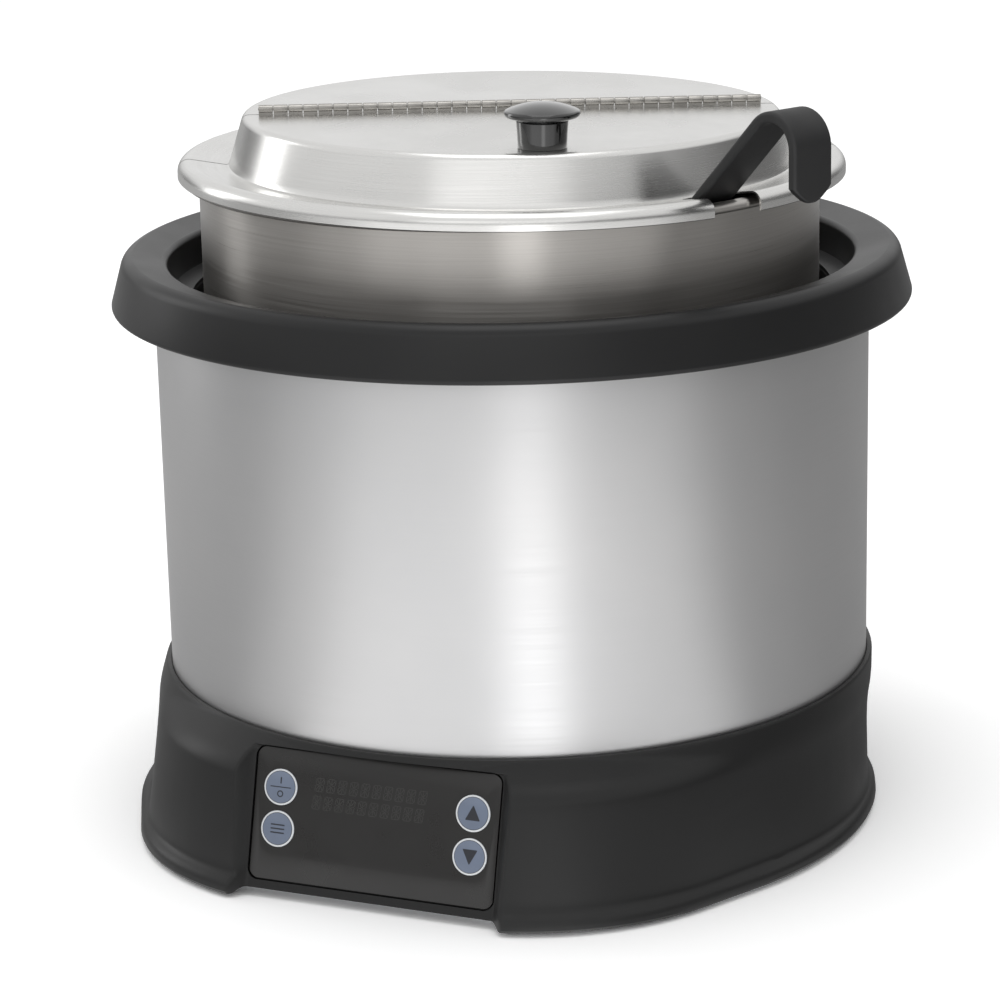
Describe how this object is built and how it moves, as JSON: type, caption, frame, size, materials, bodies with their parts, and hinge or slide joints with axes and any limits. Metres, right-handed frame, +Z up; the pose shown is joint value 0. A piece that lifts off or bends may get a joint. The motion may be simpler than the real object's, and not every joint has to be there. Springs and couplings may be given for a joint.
{
  "type": "soup kettle",
  "caption": "Round countertop induction soup kettle with satin shell, black collar and base, lift-out pot, hinged lid with knob, and hooked ladle.",
  "frame": {"origin": "on the kettle's vertical axis, in the plane of the undersides of its feet", "axes": "+Z up, the control panel faces -Y, the cord entry faces +Y, +X to the right of the panel seen from behind it"},
  "size_m": [0.3579, 0.3592, 0.3343],
  "materials": {
    "housing_plastic": "fine moulded texture, satin",
    "collar_plastic": "fine moulded texture, satin",
    "zinc_plate": "zinc-coated sheet",
    "rubber": "matt",
    "fastener_steel": "zinc-plated",
    "gland_nylon": "satin",
    "terminal_plastic": "satin",
    "circuit_board": "solder resist",
    "sink_aluminium": "extruded",
    "capacitor_sleeve": "shrink sleeve",
    "copper": "enamelled wire",
    "inner_plastic": "satin",
    "display_glass": "glossy",
    "fascia_gloss": "glossy overlay",
    "key_grey_blue": "satin overlay",
    "ferrite": "sintered",
    "lead_sleeve": "silicone sleeve",
    "mica": "sheet",
    "ceramic": "matt",
    "liner_dark": "dark coating",
    "silicone": "matt",
    "glass_ceramic": "black glass-ceramic",
    "mineral_wool": "fibrous",
    "shell_satin": "fine satin",
    "pot_stainless": "brushed round the wall",
    "lid_stainless": "polished, faint haze",
    "hinge_steel": "drawn",
    "knob_phenolic": "polished",
    "ladle_steel": "satin",
    "grip_coating": "soft matt"
  },
  "bodies": {
    "base": {"base_housing": "housing_plastic", "bottom_plate": "zinc_plate", "feet": "rubber", "bottom_screws": "fastener_steel", "cord_gland": "gland_nylon", "gland_locknut": "gland_nylon", "terminal_block": "terminal_plastic", "power_board": "circuit_board", "heat_sink": "sink_aluminium", "capacitors": "capacitor_sleeve", "filter_choke": "copper", "board_posts": "fastener_steel", "fan_frame": "inner_plastic", "control_board": "circuit_board", "display_module": "display_glass", "tact_switches": "inner_plastic", "control_fascia": "fascia_gloss", "tray_posts": "inner_plastic", "coil_tray": "inner_plastic", "ferrite_bars": "ferrite", "induction_coil": "copper", "coil_leads": "lead_sleeve", "mica_sheet": "mica", "temperature_sensor": "ceramic", "well_liner": "liner_dark", "floor_seal": "silicone", "well_floor": "glass_ceramic", "insulation_wrap": "mineral_wool", "tie_rods": "fastener_steel", "outer_shell": "shell_satin", "collar": "collar_plastic"},
    "key_power": {"button_power": "key_grey_blue"},
    "key_function": {"button_function": "key_grey_blue"},
    "key_up": {"button_up": "key_grey_blue"},
    "key_down": {"button_down": "key_grey_blue"},
    "fan": {"fan_rotor": "inner_plastic"},
    "pot": {"inset_pot": "pot_stainless", "inset_base_plate": "pot_stainless"},
    "lid": {"lid_rear": "lid_stainless", "rear_hinge_leaf": "hinge_steel", "hinge_pin": "hinge_steel"},
    "lid_front_half": {"lid_front": "lid_stainless", "front_hinge_leaf": "hinge_steel", "lid_knob": "knob_phenolic", "knob_screw": "fastener_steel"},
    "ladle": {"ladle_bowl": "ladle_steel", "ladle_shank": "ladle_steel", "ladle_rivets": "fastener_steel", "ladle_grip": "grip_coating"}
  },
  "joints": [
    {"name": "pot_lift", "type": "slide", "parent": "base", "child": "pot", "axis": [0, 0, 1], "range_m": [0, 0.22]},
    {"name": "lid_lift", "type": "slide", "parent": "pot", "child": "lid", "axis": [0, 0, 1], "range_m": [0, 0.1]},
    {"name": "lid_open", "type": "hinge", "parent": "lid", "child": "lid_front_half", "pos_m": [0.00139, 0.00071, 0.3172], "axis": [-0.8909, -0.454, 0.0119], "range_deg": [0, 165]},
    {"name": "ladle_draw", "type": "slide", "parent": "pot", "child": "ladle", "axis": [0.6247, -0.3392, 0.7034], "range_m": [0, 0.2]},
    {"name": "key_power_press", "type": "slide", "parent": "base", "child": "key_power", "axis": [0, 0.9636, -0.2672], "range_m": [0, 0.0006], "stiffness_N_per_m": 900, "springref_m": -0.0006},
    {"name": "key_function_press", "type": "slide", "parent": "base", "child": "key_function", "axis": [0, 0.9636, -0.2672], "range_m": [0, 0.0006], "stiffness_N_per_m": 900, "springref_m": -0.0006},
    {"name": "key_up_press", "type": "slide", "parent": "base", "child": "key_up", "axis": [0, 0.9636, -0.2672], "range_m": [0, 0.0006], "stiffness_N_per_m": 900, "springref_m": -0.0006},
    {"name": "key_down_press", "type": "slide", "parent": "base", "child": "key_down", "axis": [0, 0.9636, -0.2672], "range_m": [0, 0.0006], "stiffness_N_per_m": 900, "springref_m": -0.0006},
    {"name": "fan_spin", "type": "hinge", "parent": "base", "child": "fan", "pos_m": [0.062, 0.03, 0.016], "axis": [0, 0, 1], "continuous": true}
  ]
}
